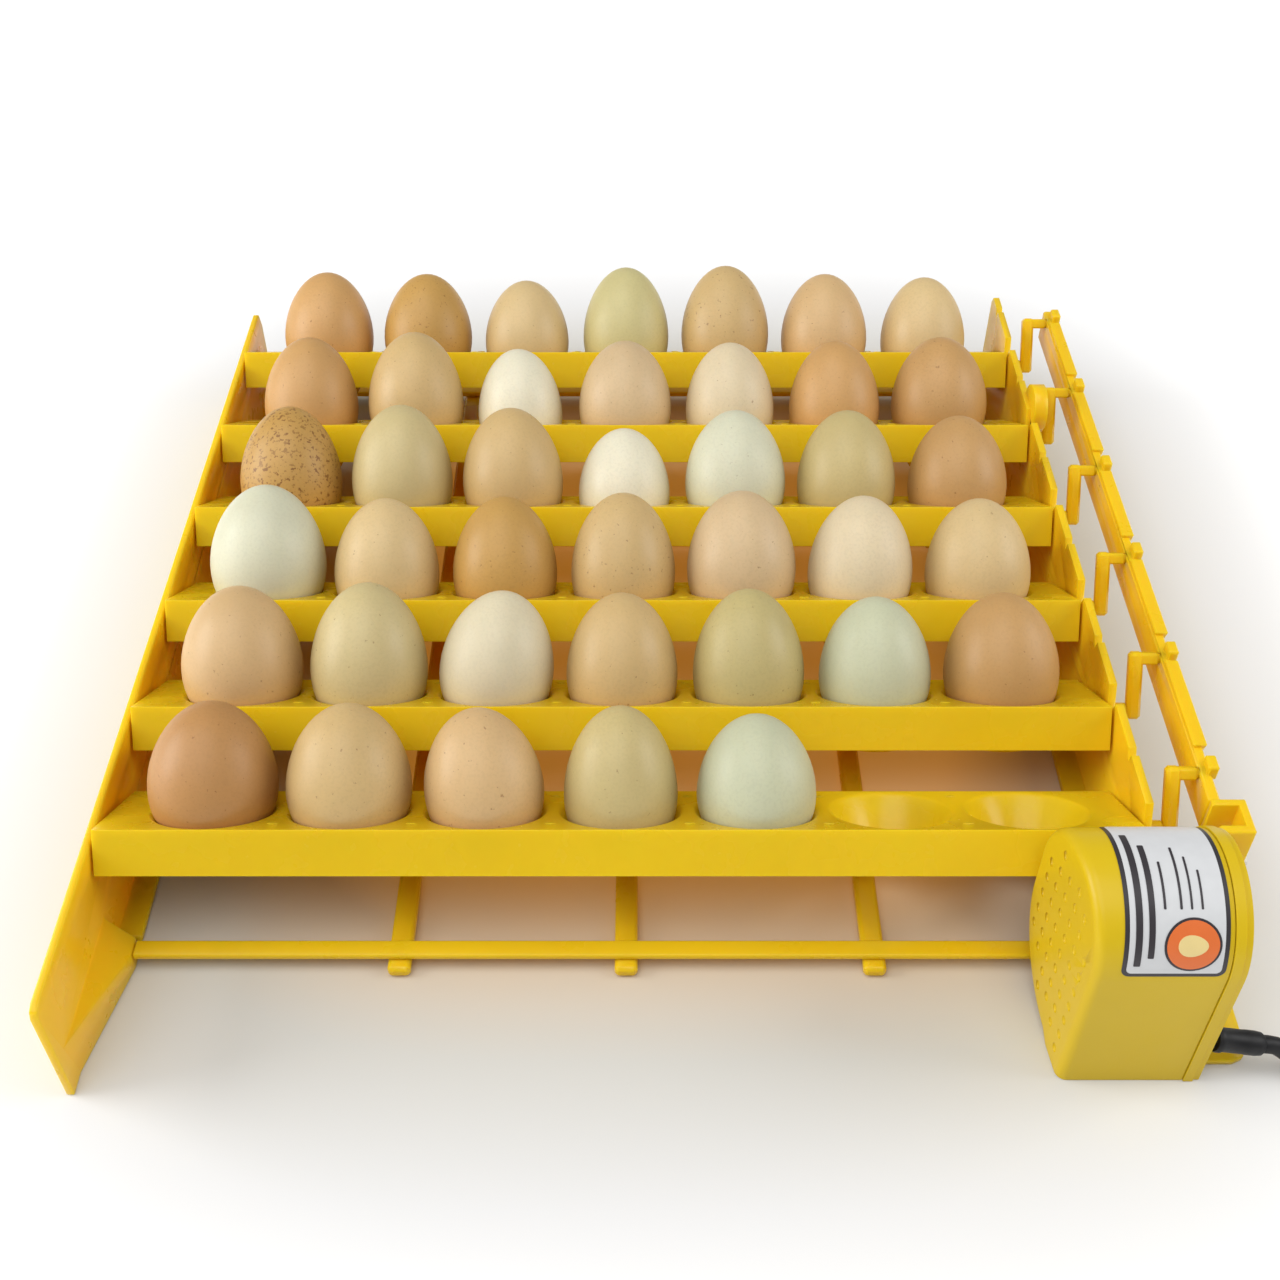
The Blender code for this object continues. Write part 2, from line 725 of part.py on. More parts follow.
def make_housing():
    shell = rounded_end(slab_x(housing_outline(0.0), HOUSING_LEFT, COVER_IN - GAP))
    room = slab_x(housing_outline(HOUSING_WALL), ROOM_LEFT, COVER_IN + 5)
    part("motor_housing", joined(shell, [("DIFFERENCE", room)]), "motor_yellow")
    cover = slab_x(cover_outline(), COVER_IN, COVER_OUT)
    before, after = COVER_IN - 5, COVER_OUT + 5
    shaft_hole = rod_x(before, after, SHAFT_Y, SHAFT_Z, SHAFT_HOLE_R, sides=16)
    lead_hole = rod_x(before, after, SLEEVE_START.y, SLEEVE_START.z, LEAD_HOLE_R, sides=12)
    holes = together(shaft_hole, lead_hole)
    part("motor_cover", joined(cover, [("DIFFERENCE", holes)]), "motor_yellow")


def make_gear_motor():
    """The small synchronous motor and the gearbox that it is bolted to."""
    can = rod_x(*MOTOR_X, HOUSING_Y, MOTOR_Z, MOTOR_R, sides=20)
    part("motor_can", can, "steel")
    half = GEARBOX_WIDTH / 2
    low = (MOTOR_X[1] + GAP, HOUSING_Y - half, GEARBOX_Z[0])
    high = (COVER_IN - 2, HOUSING_Y + half, GEARBOX_Z[1])
    part("gearbox_case", box(low, high, rounding=1.0), "steel")


def make_label():
    """A thin curved plate on the barrel."""
    inside = arch(HOUSING_R + GAP, *LABEL_ARC, 10)
    outside = arch(HOUSING_R + GAP + LABEL_THICKNESS, *LABEL_ARC, 10)
    part("rating_label", slab_x([*outside, *reversed(inside)], *LABEL_X), "label_face")


def make_cover_screws():
    start = COVER_OUT + GAP
    for number, (y, z) in enumerate(SCREWS_YZ, start=1):
        head = rod_x(start, start + SCREW_HEIGHT, y, z, SCREW_R, SCREW_R - 0.7, sides=12)
        part(f"cover_screw_{number}", head, "steel")


# The mains lead


def along(start, end, radii, sides):
    """A bar from start to end through (share of the way, radius) points."""
    axis = end - start
    profile = [(0, axis.length)]
    profile += [(r, axis.length * share) for share, r in reversed(radii)]
    profile += [(0, 0)]
    mesh = turned(profile, sides)
    turn = axis.to_track_quat("Z", "Y").to_matrix().to_4x4()
    mesh.transform(Matrix.Translation(start * MM) @ turn)
    return mesh


def lead_route():
    """The lead's own points from the sleeve, down to the table and off to the coil."""
    z = CORD_R + 0.1
    out = (CORD_EXIT - SLEEVE_START).normalized()
    return [
        CORD_EXIT + 0.5 * out,
        CORD_EXIT + 6.0 * out,
        Vector((232.0, -60.6, 8.6)),
        Vector((239.0, -63.4, 4.2)),
        Vector((248.0, -67.0, z)),
        Vector((260.0, -71.6, z)),
        Vector((274.0, -75.8, z)),
        Vector((289.0, -79.0, z)),
        Vector((303.0, -80.9, z)),
        Vector((COIL_CENTRE.x, COIL_CENTRE.y - COIL_OUTER_R - GAP - CORD_R, z)),
    ]


def tail_route():
    """The lead's last stretch, from the top of the coil to the plug's neck."""
    centre = COIL_CENTRE
    neck = PLUG_CENTRE + Vector((0.0, -PLUG_NECK, 0.0))
    return [
        centre + Vector((10.0, -51.4, 9.9)),
        centre + Vector((26.0, -49.6, 9.5)),
        centre + Vector((43.0, -43.8, 8.9)),
        centre + Vector((57.0, -33.0, 8.3)),
        neck + Vector((-1.2, -8.0, 0.1)),
        neck + Vector((0.0, -1.0, 0.0)),
    ]


def make_lead():
    radii = [(0.0, SLEEVE_R), (0.7, SLEEVE_R), (1.0, SLEEVE_R - 0.5)]
    part("strain_relief", along(SLEEVE_START, CORD_EXIT, radii, 12), "cord_black")
    for name, route in (("mains_lead", lead_route()), ("lead_tail", tail_route())):
        tube(name, smooth_route(route, 2.4 * 2 * CORD_R), CORD_R, "cord_black")
    ring = turned(
        [
            (COIL_OUTER_R, COIL_HEIGHT),
            (COIL_OUTER_R, 0.1),
            (COIL_INNER_R, 0.1),
            (COIL_INNER_R, COIL_HEIGHT),
            (COIL_OUTER_R, COIL_HEIGHT),
        ],
        20,
    )
    part("lead_coil", ring, "cord_black", COIL_CENTRE)


def make_plug():
    """A moulded two-pin plug lying beside the coil, its pins towards the rear."""
    half = PLUG_NECK_HALF
    body = box(PLUG_CENTRE - PLUG_BODY, PLUG_CENTRE + PLUG_BODY, rounding=2.0)
    neck = box(
        PLUG_CENTRE - Vector((half, PLUG_NECK, half)),
        PLUG_CENTRE + Vector((half, 1 - PLUG_BODY.y, half)),
        rounding=1.2,
    )
    part("plug_body", joined(body, [("UNION", neck)]), "cord_black")
    for name, side in (("left", -1), ("right", 1)):
        root = PLUG_CENTRE + Vector((side * PIN_SPACING / 2, PLUG_BODY.y + GAP, 0))
        tip = PLUG_CENTRE + Vector((side * PIN_SPACING / 2, PIN_REACH, 0))
        part(f"plug_pin_{name}", box(root - PIN_HALF, tip + PIN_HALF, rounding=0.3), "brass")


def centre_base(names_left_out):
    """Moves the turner's empty so that the middle of its base is the world's origin."""
    graph = bpy.context.evaluated_depsgraph_get()
    corners = []
    for obj in bpy.data.collections["egg_turner"].objects:
        if obj.type == "MESH" and obj.name not in names_left_out:
            seen = obj.evaluated_get(graph)
            corners += [seen.matrix_world @ v.co for v in seen.data.vertices]
    low = [min(c[k] for c in corners) for k in range(2)]
    high = [max(c[k] for c in corners) for k in range(2)]
    bpy.data.objects["turner"].location = (-(low[0] + high[0]) / 2, -(low[1] + high[1]) / 2, 0.0)
    bpy.context.view_layer.update()


def main():
    clear_scene()
    for name in ("egg_turner", "workshop"):
        collection = bpy.data.collections.new(name)
        bpy.context.scene.collection.children.link(collection)
    for name in COLOURS:
        make_material(name)
    turner = bpy.data.objects.new("turner", None)
    bpy.data.collections["egg_turner"].objects.link(turner)
    make_frame()
    make_foot()
    make_racks()
    make_drive_bar()
    make_yoke()
    make_crank()
    make_housing()
    make_gear_motor()
    make_label()
    make_cover_screws()
    make_lead()
    make_plug()
    bpy.context.view_layer.update()
    centre_base(("mains_lead", "lead_coil", "lead_tail", "plug_body", "plug_pin_left", "plug_pin_right"))


main()
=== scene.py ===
"""The looks of the egg turner: yellow racks and frame, forty hen eggs, the gear motor and its lead.

Shapes are made in millimetres, in the frame that the CAD was designed in, and moved to the world's metres.
"""

import json
import math

import bmesh
import bpy
from mathutils import Matrix, Vector


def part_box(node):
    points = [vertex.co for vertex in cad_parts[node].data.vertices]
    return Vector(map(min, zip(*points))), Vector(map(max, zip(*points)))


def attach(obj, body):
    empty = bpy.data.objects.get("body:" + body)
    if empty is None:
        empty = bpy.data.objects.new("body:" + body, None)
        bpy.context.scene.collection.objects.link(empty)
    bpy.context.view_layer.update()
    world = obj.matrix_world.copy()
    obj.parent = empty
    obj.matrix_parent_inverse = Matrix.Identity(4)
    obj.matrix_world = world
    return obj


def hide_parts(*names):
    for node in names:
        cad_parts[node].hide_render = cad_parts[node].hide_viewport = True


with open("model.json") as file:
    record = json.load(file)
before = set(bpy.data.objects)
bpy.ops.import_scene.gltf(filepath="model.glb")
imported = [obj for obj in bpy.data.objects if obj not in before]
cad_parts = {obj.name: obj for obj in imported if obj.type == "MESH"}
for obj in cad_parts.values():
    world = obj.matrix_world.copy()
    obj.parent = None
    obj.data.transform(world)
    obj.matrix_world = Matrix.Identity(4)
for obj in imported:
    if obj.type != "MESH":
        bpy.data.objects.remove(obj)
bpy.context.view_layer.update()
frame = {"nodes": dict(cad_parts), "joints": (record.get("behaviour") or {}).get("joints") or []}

MM = 0.001
NODES = frame["nodes"]
PIVOTS = {joint["child"]: Vector(joint["pos_m"]) for joint in frame["joints"]}
RACKS = range(1, 7)
TILT = math.radians(-33.3)

# The racks, in millimetres about their pivot
RACK_LENGTH = 375.0
RACK_DEPTH = 49.0
RACK_TOP = 7.0
RACK_SKIRT = 17.2
RACK_WALL = 2.0
CUP_PITCH = 50.0
CUPS = 7
CUP_TOP_R = 22.4
CUP_BOTTOM_R = 11.5
CUP_DROP = 21.0
CUP_WALL = 1.4
CUP_LIP = 1.1
CUP_SIDES = 56
AXLE_R = 3.0
LEFT_AXLE = (6.0, 5.2)
RIGHT_AXLE = (12.4, 11.8)
MARK_Y = 17.0

# The design frame's zero, where the front rack's pivot stands 16.5 mm back and 36.9 mm up
ZERO = PIVOTS["rack_1"] - Vector((0.0, 16.5, 36.9)) * MM

# The gear motor's housing
HOUSING_R = 28.0
HOUSING_Y = -38.0
HOUSING_Z = 60.0
HOUSING_X = (147.0, 196.0)
HOUSING_SLANT = 5.5
HOUSING_WALL = 2.2
HOUSING_ROUNDING = 3.5
HEEL_R = 42.0
ROOM_LEFT = 157.0
COVER_X = (196.3, 202.0)
COVER_PROUD = 0.6
COVER_REAR = 6.0
COVER_SHOULDER_Z = 46.0
SHAFT_YZ = (-6.73, 33.0)
LEAD_HOLE_YZ = (-61.0, 18.6)
SHAFT_HOLE_R = 3.4
LEAD_HOLE_R = 2.6
SEAT_DEPTH = 3.4
CAP_INSET = 0.7
VENT_R = 1.7
VENT_DEPTH = 0.8
VENT_EDGE = 7.0
VENT_COLUMNS = 6
VENT_ROWS = 10
VENT_START = (-58.0, 8.0)
VENT_STEP = (7.6, 8.6)

# The mains lead
CORD_R = 3.2
SLEEVE_START = Vector((203.7, -61.0, 18.6))
CORD_EXIT = Vector((221.5, -60.0, 13.6))
COIL_CENTRE = Vector((318.0, -30.0, 0.0))
COIL_RADII = (45.3, 25.8)
COIL_Z = (3.3, 9.8)
COIL_TURNS = 3
COIL_STEPS = 16
CLIMB_STEPS = 12
PLUG_NECK = 24.0
PLUG_CENTRE = COIL_CENTRE + Vector((66.0, 10.0, 8.0))

# Shell tints, as linear colours
TINTS = {
    "brown": (0.47, 0.24, 0.08),
    "fawn": (0.52, 0.30, 0.11),
    "orange": (0.58, 0.33, 0.12),
    "golden": (0.52, 0.30, 0.08),
    "tan": (0.59, 0.41, 0.18),
    "cream_tan": (0.64, 0.47, 0.23),
    "olive_tan": (0.54, 0.43, 0.19),
    "olive": (0.51, 0.42, 0.18),
    "olive_cream": (0.58, 0.47, 0.23),
    "pale_olive": (0.58, 0.51, 0.24),
    "peach": (0.63, 0.42, 0.20),
    "pink_tan": (0.63, 0.46, 0.26),
    "pink_white": (0.70, 0.58, 0.38),
    "cream_white": (0.69, 0.61, 0.42),
    "white": (0.76, 0.71, 0.54),
    "pale_blue": (0.55, 0.56, 0.38),
    "blue_white": (0.65, 0.64, 0.47),
}

# Each rack's eggs from the left: width, length, tint, how speckled, and how far it leans left in degrees
EGGS = {
    1: [
        (47, 56, "brown", 0.15, 0),
        (46, 56, "tan", 0.1, 0),
        (44, 55, "peach", 0.15, 7),
        (42, 59, "olive_tan", 0.1, 0),
        (44, 53, "pale_blue", 0.0, 0),
    ],
    2: [
        (47, 58, "peach", 0.15, 2),
        (46, 61, "olive_cream", 0.05, 0),
        (45, 57, "cream_white", 0.0, -8),
        (44, 58, "tan", 0.1, 0),
        (44, 60, "olive", 0.1, 0),
        (44, 56, "pale_blue", 0.0, 0),
        (45, 57, "fawn", 0.05, 0),
    ],
    3: [
        (48, 60, "blue_white", 0.0, 0),
        (44, 57, "cream_tan", 0.1, 0),
        (44, 58, "golden", 0.2, 0),
        (44, 60, "tan", 0.35, 0),
        (46, 59, "pink_tan", 0.05, 0),
        (44, 58, "pink_white", 0.0, -3),
        (44, 57, "cream_tan", 0.05, 0),
    ],
    4: [
        (45, 60, "golden", 1.0, 0),
        (45, 61, "olive_cream", 0.0, 0),
        (45, 59, "tan", 0.1, 2),
        (41, 52, "white", 0.0, 0),
        (45, 58, "blue_white", 0.05, 0),
        (44, 59, "olive_tan", 0.0, 0),
        (44, 56, "fawn", 0.1, 0),
    ],
    5: [
        (44, 58, "orange", 0.1, 0),
        (45, 60, "tan", 0.1, 0),
        (40, 55, "white", 0.0, 2),
        (44, 56, "pink_tan", 0.1, 0),
        (42, 57, "pink_white", 0.05, 0),
        (43, 57, "orange", 0.1, 0),
        (45, 57, "fawn", 0.15, 0),
    ],
    6: [
        (44, 57, "orange", 0.1, 0),
        (44, 56, "golden", 0.45, 0),
        (42, 54, "cream_tan", 0.05, 0),
        (43, 61, "pale_olive", 0.0, 0),
        (44, 61, "tan", 0.4, 0),
        (43, 57, "peach", 0.1, 0),
        (42, 56, "cream_tan", 0.0, 0),
    ],
}
EGG_TAPER = 0.12
EGG_WIDEST = 1 / math.sqrt(1 - EGG_TAPER**2)
EGG_SIDES = 40
EGG_RINGS = 26
EGG_ROOM = 0.35
CUP_TWIST = 73
RACK_TWIST = 31
LEAN_LIFT = 0.12


# Materials


class Nodes:
    """Short calls for the nodes of one material."""

    def __init__(self, name):
        self.material = bpy.data.materials.new(name)
        self.material.use_nodes = True
        self.tree = self.material.node_tree
        self.shader = self.tree.nodes["Principled BSDF"]
        self.coords = self.tree.nodes.new("ShaderNodeTexCoord").outputs["Object"]

    def link(self, output, target):
        self.tree.links.new(output, target)

    def noise(self, scale, detail=3.0, roughness=0.5):
        node = self.tree.nodes.new("ShaderNodeTexNoise")
        node.inputs["Scale"].default_value = scale
        node.inputs["Detail"].default_value = detail
        node.inputs["Roughness"].default_value = roughness
        self.link(self.coords, node.inputs["Vector"])
        return node.outputs["Fac"]

    def ramp(self, value, stops):
        """stops are (position, colour or grey) pairs."""
        node = self.tree.nodes.new("ShaderNodeValToRGB")
        ramp = node.color_ramp
        while len(ramp.elements) < len(stops):
            ramp.elements.new(0.5)
        for element, (position, colour) in zip(ramp.elements, stops):
            element.position = position
            element.color = (*colour, 1) if isinstance(colour, tuple) else (colour, colour, colour, 1)
        self.link(value, node.inputs["Fac"])
        return node.outputs["Color"]

    def mix(self, factor, first, second):
        node = self.tree.nodes.new("ShaderNodeMix")
        node.data_type = "RGBA"
        self.link(factor, node.inputs["Factor"])
        for socket, value in ((node.inputs[6], first), (node.inputs[7], second)):
            if isinstance(value, tuple):
                socket.default_value = (*value, 1)
            else:
                self.link(value, socket)
        return node.outputs[2]

    def bump(self, height, strength, distance):
        node = self.tree.nodes.new("ShaderNodeBump")
        node.inputs["Strength"].default_value = strength
        node.inputs["Distance"].default_value = distance
        self.link(height, node.inputs["Height"])
        self.link(node.outputs["Normal"], self.shader.inputs["Normal"])

    def roughness(self, value, low, high):
        self.link(self.ramp(value, [(0.3, low), (0.7, high)]), self.shader.inputs["Roughness"])


def shade(colour, factor):
    return tuple(min(1.0, c * factor) for c in colour)


def moulded_plastic(name, colour, gloss, glow=0.0):
    """Moulded plastic: faint flow marks in its colour, and a slightly uneven gloss."""
    n = Nodes(name)
    flow = n.noise(14.0, 4.0)
    n.link(
        n.ramp(flow, [(0.30, shade(colour, 0.95)), (0.70, shade(colour, 1.03))]),
        n.shader.inputs["Base Color"],
    )
    n.roughness(n.noise(60.0, 3.0), gloss, gloss + 0.09)
    n.bump(n.noise(240.0, 2.0), 0.10, 0.0003)
    n.shader.inputs["IOR"].default_value = 1.49
    n.shader.inputs["Subsurface Weight"].default_value = glow
    n.shader.inputs["Subsurface Radius"].default_value = (1.0, 0.68, 0.08)
    n.shader.inputs["Subsurface Scale"].default_value = 0.009
    n.shader.inputs["Specular IOR Level"].default_value = 0.32
    return n.material


def eggshell(name, tint, speckle, seed):
    """A hen's egg: cloudy tint, fine pores, and brown specks where it has them."""
    n = Nodes(name)
    shift = n.tree.nodes.new("ShaderNodeVectorMath")
    shift.operation = "ADD"
    shift.inputs[1].default_value = (0.37 * seed, 0.61 * seed, 0.23 * seed)
    n.link(n.coords, shift.inputs[0])
    n.coords = shift.outputs["Vector"]
    cloud = n.ramp(n.noise(26.0, 4.0, 0.6), [(0.30, shade(tint, 0.93)), (0.72, shade(tint, 1.05))])
    fine = n.ramp(n.noise(900.0, 2.0), [(0.36, 0.35), (0.52, 0.0)])
    colour = n.mix(fine, cloud, shade(tint, 0.86))
    if speckle > 0.0:
        dark = (tint[0] * 0.42, tint[1] * 0.30, tint[2] * 0.24)
        edge = 0.27 + 0.12 * speckle
        small = n.ramp(n.noise(620.0, 2.0, 0.5), [(edge - 0.04, 0.6), (edge + 0.02, 0.0)])
        colour = n.mix(small, colour, dark)
        if speckle > 0.8:
            big = n.ramp(n.noise(480.0, 2.0, 0.5), [(0.35, 0.85), (0.39, 0.0)])
            colour = n.mix(big, colour, dark)
    n.link(colour, n.shader.inputs["Base Color"])
    n.roughness(n.noise(50.0), 0.40, 0.50)
    n.bump(n.noise(1300.0, 2.0), 0.16, 0.0002)
    n.shader.inputs["IOR"].default_value = 1.45
    n.shader.inputs["Subsurface Weight"].default_value = 0.12
    n.shader.inputs["Subsurface Radius"].default_value = (1.0, 0.6, 0.35)
    n.shader.inputs["Subsurface Scale"].default_value = 0.003
    return n.material


def brushed_metal(name, colour, rough):
    n = Nodes(name)
    n.link(
        n.ramp(n.noise(180.0, 3.0), [(0.3, shade(colour, 0.88)), (0.7, colour)]),
        n.shader.inputs["Base Color"],
    )
    n.roughness(n.noise(300.0), rough, rough + 0.12)
    n.bump(n.noise(900.0), 0.12, 0.0002)
    n.shader.inputs["Metallic"].default_value = 1.0
    return n.material


def cable_jacket(name):
    n = Nodes(name)
    n.link(
        n.ramp(n.noise(90.0, 3.0), [(0.3, (0.009, 0.009, 0.010)), (0.7, (0.018, 0.018, 0.019))]),
        n.shader.inputs["Base Color"],
    )
    n.roughness(n.noise(120.0), 0.42, 0.54)
    n.bump(n.noise(700.0), 0.15, 0.0002)
    n.shader.inputs["Specular IOR Level"].default_value = 0.25
    return n.material


def printed_film(name, colour):
    n = Nodes(name)
    n.link(
        n.ramp(n.noise(220.0), [(0.3, shade(colour, 0.96)), (0.7, shade(colour, 1.0))]),
        n.shader.inputs["Base Color"],
    )
    n.roughness(n.noise(150.0), 0.36, 0.44)
    n.bump(n.noise(500.0), 0.06, 0.0001)
    return n.material


def floor_with_painted_shadow(name):
    """White paper with painted shadow: a warm painted shade under the racks for their bounce light, a grey
    painted shadow round them, and brighter further off.
    """
    n = Nodes(name)
    scaled = n.tree.nodes.new("ShaderNodeVectorMath")
    scaled.operation = "MULTIPLY_ADD"
    scaled.inputs[1].default_value = (1 / 0.33, 1 / 0.36, 0.0)
    scaled.inputs[2].default_value = (0.0, -0.06, 0.0)
    n.link(n.coords, scaled.inputs[0])
    squared = n.tree.nodes.new("ShaderNodeVectorMath")
    squared.operation = "MULTIPLY"
    n.link(scaled.outputs["Vector"], squared.inputs[0])
    n.link(scaled.outputs["Vector"], squared.inputs[1])
    length = n.tree.nodes.new("ShaderNodeVectorMath")
    length.operation = "LENGTH"
    n.link(squared.outputs["Vector"], length.inputs[0])
    reach = length.outputs["Value"]
    # Painted shadow: warm painted shade under the racks, grey painted shadow round them, near white
    # further off.
    painted_shadow_tints = [
        (0.14, (0.78, 0.58, 0.37)),
        (0.22, (0.64, 0.53, 0.39)),
        (0.37, (0.63, 0.62, 0.58)),
        (0.58, (0.76, 0.76, 0.76)),
        (0.90, (0.93, 0.93, 0.93)),
    ]
    # Emission, also painted light: an orange painted glow under the racks for their bounce light, none
    # round them, and a white glow that brightens the floor further off.
    glow = [(0.13, (0.75, 0.34, 0.04)), (0.22, (0.14, 0.05, 0.0))]
    glow += [(0.33, 0.0), (0.58, 0.12), (0.95, 0.5)]
    n.link(n.ramp(reach, painted_shadow_tints), n.shader.inputs["Base Color"])
    n.link(n.ramp(reach, glow), n.shader.inputs["Emission Color"])
    n.shader.inputs["Emission Strength"].default_value = 0.28
    n.shader.inputs["Roughness"].default_value = 0.85
    return n.material


RACK_YELLOW = moulded_plastic("rack_yellow", (0.83, 0.53, 0.010), 0.22, 0.45)
FRAME_YELLOW = moulded_plastic("frame_yellow", (0.83, 0.53, 0.010), 0.26, 0.45)
MOTOR_YELLOW = moulded_plastic("motor_yellow", (0.68, 0.47, 0.008), 0.32, 0.05)
NYLON = moulded_plastic("white_nylon", (0.80, 0.80, 0.77), 0.36)
STEEL = brushed_metal("zinc_steel", (0.60, 0.60, 0.60), 0.28)
BRASS = brushed_metal("brass", (0.72, 0.55, 0.26), 0.26)
BLACK = cable_jacket("black_jacket")
LABEL_GREY = printed_film("label_grey", (0.66, 0.67, 0.68))
LABEL_DARK = printed_film("label_dark", (0.035, 0.03, 0.035))
LABEL_ORANGE = printed_film("label_orange", (0.78, 0.17, 0.035))
LABEL_CREAM = printed_film("label_cream", (0.84, 0.66, 0.28))


# Meshes, in millimetres unless they say otherwise


def finished(bm, name):
    bmesh.ops.recalc_face_normals(bm, faces=bm.faces)
    mesh = bpy.data.meshes.new(name)
    bm.to_mesh(mesh)
    bm.free()
    return mesh


def new_object(name, mesh, material=None, sharp=32):
    obj = bpy.data.objects.new(name, mesh)
    bpy.context.scene.collection.objects.link(obj)
    if material:
        mesh.materials.append(material)
    if obj.type == "MESH":
        mesh.shade_smooth()
        mesh.set_sharp_from_angle(angle=math.radians(sharp))
    return obj


def piece(name, mesh, material, body, replaced=(), sharp=32):
    obj = new_object(name, mesh, material, sharp)
    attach(obj, body)
    if replaced:
        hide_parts(*replaced)
    return obj


def bevel(obj, width, segments=2, angle=32):
    modifier = obj.modifiers.new("edges", "BEVEL")
    modifier.width = width * MM
    modifier.segments = segments
    modifier.limit_method = "ANGLE"
    modifier.angle_limit = math.radians(angle)
    modifier.use_clamp_overlap = True
    modifier.harden_normals = True
    return modifier


def box(low, high):
    low, high = Vector(low) * MM, Vector(high) * MM
    bm = bmesh.new()
    size = Matrix.Diagonal((*(high - low), 1.0))
    bmesh.ops.create_cube(bm, size=1.0, matrix=Matrix.Translation((low + high) / 2) @ size)
    return finished(bm, "box")


def lathe(profile, sides):
    """A shape turned about Z from (radius, z) points, top to bottom, closed at both ends on the axis."""
    bm = bmesh.new()
    rings = []
    for r, z in profile:
        if r <= 1e-6:
            rings.append([bm.verts.new((0, 0, z * MM))])
            continue
        turn = [2 * math.pi * i / sides for i in range(sides)]
        rings.append([bm.verts.new((r * MM * math.cos(a), r * MM * math.sin(a), z * MM)) for a in turn])
    for upper, lower in zip(rings, rings[1:]):
        for i in range(sides):
            j = (i + 1) % sides
            above = [upper[i % len(upper)], upper[j % len(upper)]]
            below = [lower[j % len(lower)], lower[i % len(lower)]]
            unique = list(dict.fromkeys(above + below))
            if len(unique) > 2:
                bm.faces.new(unique)
    return finished(bm, "lathe")


def along_x(mesh, y=0.0, z=0.0, x=0.0):
    """Turns a lathe's axis to +X and moves it."""
    place = Matrix.Translation(Vector((x, y, z)) * MM)
    mesh.transform(place @ Matrix.Rotation(math.pi / 2, 4, "Y"))
    return mesh


def moved(mesh, x=0.0, y=0.0, z=0.0):
    copy = mesh.copy()
    copy.transform(Matrix.Translation(Vector((x, y, z)) * MM))
    return copy


def together(meshes):
    bm = bmesh.new()
    for mesh in meshes:
        bm.from_mesh(mesh)
    return finished(bm, "set")


def carved(base, steps):
    """base after each (operation, mesh) as Booleans."""
    body = bpy.data.objects.new("carved", base)
    bpy.context.scene.collection.objects.link(body)
    tools = []
    for operation, mesh in steps:
        tool = bpy.data.objects.new("tool", mesh)
        bpy.context.scene.collection.objects.link(tool)
        boolean = body.modifiers.new("cut", "BOOLEAN")
        boolean.operation = operation
        boolean.object = tool
        tools.append(tool)
    bpy.context.view_layer.update()
    graph = bpy.context.evaluated_depsgraph_get()
    mesh = bpy.data.meshes.new_from_object(body.evaluated_get(graph))
    for obj in (body, *tools):
        bpy.data.objects.remove(obj)
    return mesh


def extruded(outline, x0, x1):
    """A closed (y, z) outline from x0 to x1."""
    bm = bmesh.new()
    ends = [[bm.verts.new(Vector((x, y, z)) * MM) for y, z in outline] for x in (x0, x1)]
    bm.faces.new(ends[0])
    bm.faces.new(ends[1])
    count = len(outline)
    for i in range(count):
        j = (i + 1) % count
        bm.faces.new((ends[0][i], ends[0][j], ends[1][j], ends[1][i]))
    return finished(bm, "extruded")


def to_world(mesh):
    """Moves a mesh made in the design frame to the world's."""
    mesh.transform(Matrix.Translation(ZERO))
    return mesh


# The racks


def cup_x(cup):
    return (cup - (CUPS - 1) / 2) * CUP_PITCH


def rack_shell():
    """A tray with seven open funnels, in the rack's own frame."""
    half, deep = RACK_LENGTH / 2, RACK_DEPTH / 2
    bottom = RACK_TOP - RACK_SKIRT
    tray = box((-half, -deep, bottom), (half, deep, RACK_TOP))
    inner, depth = half - RACK_WALL, deep - RACK_WALL
    hollow = box((-inner, -depth, bottom - 5), (inner, depth, RACK_TOP - RACK_WALL))
    slope = (CUP_TOP_R - CUP_BOTTOM_R) / CUP_DROP
    low = RACK_TOP - CUP_DROP
    funnel = lathe(
        [
            (0, RACK_TOP - 0.8),
            (CUP_TOP_R - 0.8 * slope + CUP_WALL, RACK_TOP - 0.8),
            (CUP_BOTTOM_R + CUP_WALL, low),
            (0, low),
        ],
        CUP_SIDES,
    )
    lip = [(CUP_TOP_R + CUP_LIP, RACK_TOP + 0.01), (CUP_TOP_R + 0.35, RACK_TOP - 0.35)]
    bore = lathe(
        [
            (0, RACK_TOP + 3),
            (CUP_TOP_R + CUP_LIP + 1.5, RACK_TOP + 3),
            *lip,
            (CUP_TOP_R - CUP_LIP * slope, RACK_TOP - CUP_LIP),
            (CUP_BOTTOM_R - 3 * slope, low - 3),
            (0, low - 3),
        ],
        CUP_SIDES,
    )
    xs = [cup_x(i) for i in range(CUPS)]
    return carved(
        tray,
        [
            ("DIFFERENCE", hollow),
            ("UNION", together([moved(funnel, x) for x in xs])),
            ("DIFFERENCE", together([moved(bore, x) for x in xs])),
        ],
    )


def rack_marks():
    """Small raised lozenges on the tray, in the corners between the cups."""
    lozenge = lathe([(0, 0.35), (0.9, 0.3), (2.0, -0.4), (0, -0.4)], 4)
    lozenge.transform(Matrix.Diagonal((1.5, 0.6, 1.0, 1.0)))
    marks = []
    for cup in range(1, CUPS):
        x = cup_x(cup) - CUP_PITCH / 2
        marks += [moved(lozenge, x, y, RACK_TOP) for y in (-MARK_Y, MARK_Y)]
    return together(marks)


def axle(length):
    """A stub with a chamfered end at z = 0 that runs down from there."""
    profile = [(0, 0.0), (AXLE_R - 0.4, 0.0), (AXLE_R, -0.4), (AXLE_R, -length), (0, -length)]
    return lathe(profile, 28)


